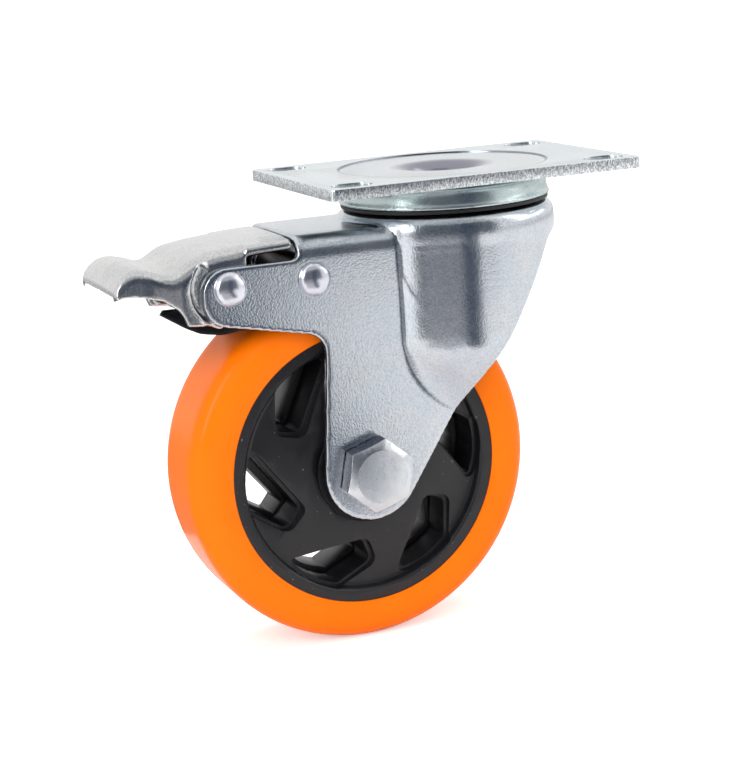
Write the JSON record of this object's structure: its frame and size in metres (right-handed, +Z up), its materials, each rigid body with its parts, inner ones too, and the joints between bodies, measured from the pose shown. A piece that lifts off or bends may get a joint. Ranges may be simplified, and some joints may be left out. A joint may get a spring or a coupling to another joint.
{
  "type": "swivel castor",
  "caption": "Top-plate swivel castor with a pressed zinc-plated fork, a toe-operated brake pedal and a smooth orange tyre on a black hub with leaf-shaped windows.",
  "frame": {"origin": "Centre of the plate's top (mounting) face, on the swivel axis; z = 0 at the mounting face.", "axes": "+Z up, out of the mounting face. The wheel trails and the brake pedal points towards -X. The axle runs along Y, with the bolt's head on the -Y side."},
  "size_m": [0.1479, 0.067, 0.13],
  "materials": {
    "zinc_sheet": "bright zinc plate over pressed sheet, lightly blotched",
    "zinc_pin": "bright zinc plate on turned and headed steel",
    "ball_steel": "ground bearing steel",
    "cage_brass": "satin pressed brass",
    "black_steel": "blacked steel, satin",
    "black_plastic": "moulded black plastic, satin",
    "blue_nylon": "moulded nylon",
    "orange_tread": "smooth polyurethane tread, soft gloss"
  },
  "bodies": {
    "mounting": {"top_plate": "zinc_sheet", "upper_race_cup": "zinc_sheet", "kingpin": "zinc_pin", "lower_race": "zinc_sheet", "swivel_seal": "black_plastic"},
    "fork_body": {"fork": "zinc_sheet", "upper_swivel_balls": "ball_steel", "lower_swivel_balls": "ball_steel", "axle_bolt": "zinc_pin", "axle_nut": "zinc_pin", "nut_insert": "blue_nylon", "axle_sleeve": "zinc_pin", "near_dust_cover": "black_steel", "far_dust_cover": "black_steel", "near_inner_race": "ball_steel", "far_inner_race": "ball_steel", "pedal_rivet": "zinc_pin", "pedal_spacer": "zinc_pin", "tongue_rivet": "zinc_pin"},
    "wheel": {"tyre": "orange_tread", "hub": "black_plastic", "near_outer_race": "ball_steel", "far_outer_race": "ball_steel", "near_wheel_balls": "ball_steel", "far_wheel_balls": "ball_steel", "near_ball_cage": "cage_brass", "far_ball_cage": "cage_brass", "near_bearing_seal": "black_plastic", "far_bearing_seal": "black_plastic"},
    "pedal": {"brake_pedal": "zinc_sheet"},
    "tongue": {"brake_tongue": "black_steel"}
  },
  "joints": [
    {"name": "swivel", "type": "hinge", "parent": "mounting", "child": "fork_body", "pos_m": [0, 0, -0.012], "axis": [0, 0, 1], "continuous": true},
    {"name": "wheel_spin", "type": "hinge", "parent": "fork_body", "child": "wheel", "pos_m": [-0.0344, 0, -0.08], "axis": [0, 1, 0], "continuous": true},
    {"name": "pedal_press", "type": "hinge", "parent": "fork_body", "child": "pedal", "pos_m": [-0.0715, 0, -0.02457], "axis": [0, -1, 0], "range_deg": [0, 15]},
    {"name": "tongue_press", "type": "hinge", "parent": "fork_body", "child": "tongue", "pos_m": [-0.0477, 0, -0.02457], "axis": [0, -1, 0], "range_deg": [0, 6]}
  ],
  "couplings": [
    {"joint": "tongue_press", "follows": "pedal_press", "ratio": 0.4}
  ]
}
